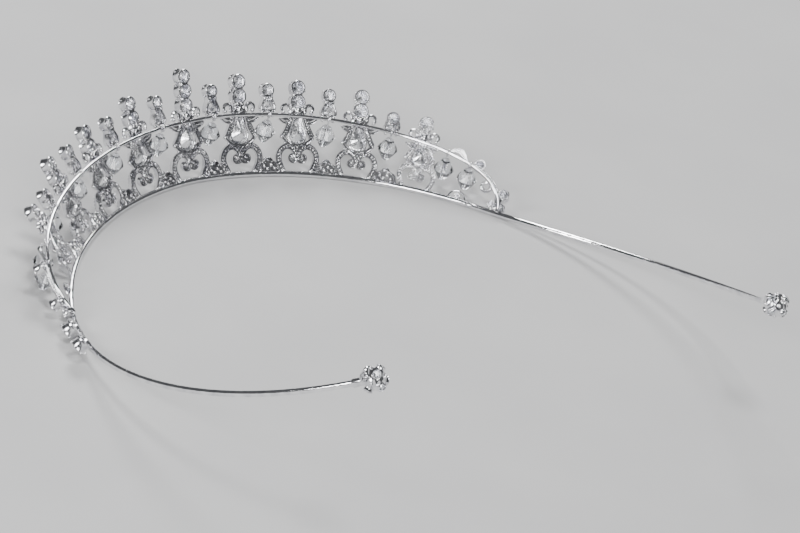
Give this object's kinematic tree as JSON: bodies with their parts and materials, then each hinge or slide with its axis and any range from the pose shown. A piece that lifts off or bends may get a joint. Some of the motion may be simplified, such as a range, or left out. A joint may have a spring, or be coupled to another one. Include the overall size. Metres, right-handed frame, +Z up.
{
  "type": "bridal tiara",
  "caption": "Silver plated bridal tiara: U-shaped wire headband with a crest of cast scroll palmettes, slim spires, clear stones in open cups and swinging faceted crystals.",
  "frame": {"origin": "on the surface it rests on, under the middle of its outline", "axes": "+Z up, the front of the crest faces -Y, the arms run back towards +Y, +X is the wearer's left"},
  "size_m": [0.1704, 0.1554, 0.046],
  "materials": {
    "band_silver": "polished silver plate, drawn round wire",
    "rail_silver": "polished silver plate, thin round wire",
    "cast_silver": "bright silver plated casting",
    "finial_silver": "bright silver plated ball",
    "pin_wire": "bright silver plated fine wire",
    "rhinestone": "clear faceted rhinestone, foil backed",
    "crystal": "clear faceted crystal"
  },
  "bodies": {
    "tiara": {"end_spray_left": "cast_silver", "end_spray_right": "cast_silver", "end_stones": "rhinestone", "finial_left": "finial_silver", "finial_right": "finial_silver", "foot_cluster_stones": "rhinestone", "foot_clusters": "cast_silver", "headband": "band_silver", "palmette_1": "cast_silver", "palmette_1_stones": "rhinestone", "palmette_2": "cast_silver", "palmette_2_stones": "rhinestone", "palmette_3": "cast_silver", "palmette_3_stones": "rhinestone", "palmette_4": "cast_silver", "palmette_4_stones": "rhinestone", "palmette_5": "cast_silver", "palmette_5_stones": "rhinestone", "palmette_6": "cast_silver", "palmette_6_stones": "rhinestone", "palmette_7": "cast_silver", "palmette_7_stones": "rhinestone", "palmette_8": "cast_silver", "palmette_8_stones": "rhinestone", "palmette_9": "cast_silver", "palmette_9_stones": "rhinestone", "rail_wire": "rail_silver", "spire_1": "cast_silver", "spire_2": "cast_silver", "spire_3": "cast_silver", "spire_4": "cast_silver", "spire_5": "cast_silver", "spire_6": "cast_silver", "spire_7": "cast_silver", "spire_8": "cast_silver", "spire_stones": "rhinestone"},
    "drop_1": {"drop_pin_1": "pin_wire", "drop_crystal_1": "crystal"},
    "drop_2": {"drop_pin_2": "pin_wire", "drop_crystal_2": "crystal"},
    "drop_3": {"drop_pin_3": "pin_wire", "drop_crystal_3": "crystal"},
    "drop_4": {"drop_pin_4": "pin_wire", "drop_crystal_4": "crystal"},
    "drop_5": {"drop_pin_5": "pin_wire", "drop_crystal_5": "crystal"},
    "drop_6": {"drop_pin_6": "pin_wire", "drop_crystal_6": "crystal"},
    "drop_7": {"drop_pin_7": "pin_wire", "drop_crystal_7": "crystal"},
    "drop_8": {"drop_pin_8": "pin_wire", "drop_crystal_8": "crystal"},
    "drop_9": {"drop_pin_9": "pin_wire", "drop_crystal_9": "crystal"},
    "drop_10": {"drop_pin_10": "pin_wire", "drop_crystal_10": "crystal"},
    "drop_11": {"drop_pin_11": "pin_wire", "drop_crystal_11": "crystal"},
    "drop_12": {"drop_pin_12": "pin_wire", "drop_crystal_12": "crystal"}
  },
  "joints": [
    {"name": "drop_1_swing", "type": "hinge", "parent": "tiara", "child": "drop_1", "pos_m": [-0.07115, -0.03462, 0.00848], "axis": [0.436, -0.868, 0.2376], "range_deg": [-12, 20]},
    {"name": "drop_2_swing", "type": "hinge", "parent": "tiara", "child": "drop_2", "pos_m": [-0.06765, -0.04018, 0.00979], "axis": [0.5931, -0.7888, 0.1614], "range_deg": [-35, 35]},
    {"name": "drop_3_swing", "type": "hinge", "parent": "tiara", "child": "drop_3", "pos_m": [-0.05658, -0.0513, 0.01169], "axis": [0.7806, -0.618, 0.0932], "range_deg": [-35, 35]},
    {"name": "drop_4_swing", "type": "hinge", "parent": "tiara", "child": "drop_4", "pos_m": [-0.04186, -0.06055, 0.0131], "axis": [0.895, -0.4403, 0.0713], "range_deg": [-35, 35]},
    {"name": "drop_5_swing", "type": "hinge", "parent": "tiara", "child": "drop_5", "pos_m": [-0.02565, -0.06659, 0.0142], "axis": [0.9657, -0.2536, 0.0558], "range_deg": [-35, 35]},
    {"name": "drop_6_swing", "type": "hinge", "parent": "tiara", "child": "drop_6", "pos_m": [-0.00871, -0.06929, 0.01501], "axis": [0.9975, -0.06, 0.0378], "range_deg": [-35, 35]},
    {"name": "drop_7_swing", "type": "hinge", "parent": "tiara", "child": "drop_7", "pos_m": [0.00871, -0.06929, 0.01501], "axis": [0.9975, 0.06, -0.0378], "range_deg": [-35, 35]},
    {"name": "drop_8_swing", "type": "hinge", "parent": "tiara", "child": "drop_8", "pos_m": [0.02565, -0.06659, 0.0142], "axis": [0.9657, 0.2536, -0.0558], "range_deg": [-35, 35]},
    {"name": "drop_9_swing", "type": "hinge", "parent": "tiara", "child": "drop_9", "pos_m": [0.04186, -0.06055, 0.0131], "axis": [0.895, 0.4403, -0.0713], "range_deg": [-35, 35]},
    {"name": "drop_10_swing", "type": "hinge", "parent": "tiara", "child": "drop_10", "pos_m": [0.05658, -0.0513, 0.01169], "axis": [0.7806, 0.618, -0.0932], "range_deg": [-35, 35]},
    {"name": "drop_11_swing", "type": "hinge", "parent": "tiara", "child": "drop_11", "pos_m": [0.06765, -0.04018, 0.00979], "axis": [0.5931, 0.7888, -0.1614], "range_deg": [-35, 35]},
    {"name": "drop_12_swing", "type": "hinge", "parent": "tiara", "child": "drop_12", "pos_m": [0.07115, -0.03462, 0.00848], "axis": [0.436, 0.868, -0.2376], "range_deg": [-12, 20]}
  ]
}
